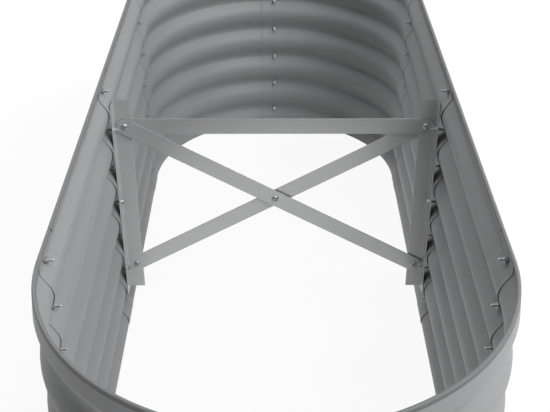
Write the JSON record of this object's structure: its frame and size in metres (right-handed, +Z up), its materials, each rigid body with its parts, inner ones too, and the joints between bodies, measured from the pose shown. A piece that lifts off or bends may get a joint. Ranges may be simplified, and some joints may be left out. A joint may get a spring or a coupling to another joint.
{
  "type": "raised garden bed",
  "caption": "Oval raised garden bed of lapped corrugated steel panels, open above and below, tied across the middle by a bar and crossed braces.",
  "frame": {"origin": "middle of the footprint, on the ground", "axes": "+X across the bed to its right side, +Y along the bed to its back end, +Z up"},
  "size_m": [0.813, 2.2532, 0.6899],
  "materials": {
    "wall_paint": "satin grey powder coat",
    "brace_paint": "satin grey powder coat",
    "zinc_fasteners": "bright zinc plate"
  },
  "bodies": {
    "root": {"front_left_side_panel": "wall_paint", "front_right_side_panel": "wall_paint", "back_left_side_panel": "wall_paint", "back_right_side_panel": "wall_paint", "front_left_corner_panel": "wall_paint", "front_right_corner_panel": "wall_paint", "back_left_corner_panel": "wall_paint", "back_right_corner_panel": "wall_paint", "left_post": "brace_paint", "right_post": "brace_paint", "top_bar": "brace_paint", "front_brace": "brace_paint", "back_brace": "brace_paint", "left_middle_bolts": "zinc_fasteners", "right_middle_bolts": "zinc_fasteners", "left_post_bolts": "zinc_fasteners", "right_post_bolts": "zinc_fasteners", "front_left_joint_bolts": "zinc_fasteners", "front_right_joint_bolts": "zinc_fasteners", "back_left_joint_bolts": "zinc_fasteners", "back_right_joint_bolts": "zinc_fasteners", "front_end_bolts": "zinc_fasteners", "back_end_bolts": "zinc_fasteners", "left_middle_nuts": "zinc_fasteners", "right_middle_nuts": "zinc_fasteners", "left_post_nuts": "zinc_fasteners", "right_post_nuts": "zinc_fasteners", "front_left_joint_nuts": "zinc_fasteners", "front_right_joint_nuts": "zinc_fasteners", "back_left_joint_nuts": "zinc_fasteners", "back_right_joint_nuts": "zinc_fasteners", "front_end_nuts": "zinc_fasteners", "back_end_nuts": "zinc_fasteners", "left_middle_washers": "zinc_fasteners", "right_middle_washers": "zinc_fasteners", "left_post_washers": "zinc_fasteners", "right_post_washers": "zinc_fasteners", "front_left_joint_washers": "zinc_fasteners", "front_right_joint_washers": "zinc_fasteners", "back_left_joint_washers": "zinc_fasteners", "back_right_joint_washers": "zinc_fasteners", "front_end_washers": "zinc_fasteners", "back_end_washers": "zinc_fasteners", "brace_bolts": "zinc_fasteners", "brace_nuts": "zinc_fasteners", "brace_washers": "zinc_fasteners", "brace_spacers": "zinc_fasteners"}
  },
  "joints": []
}
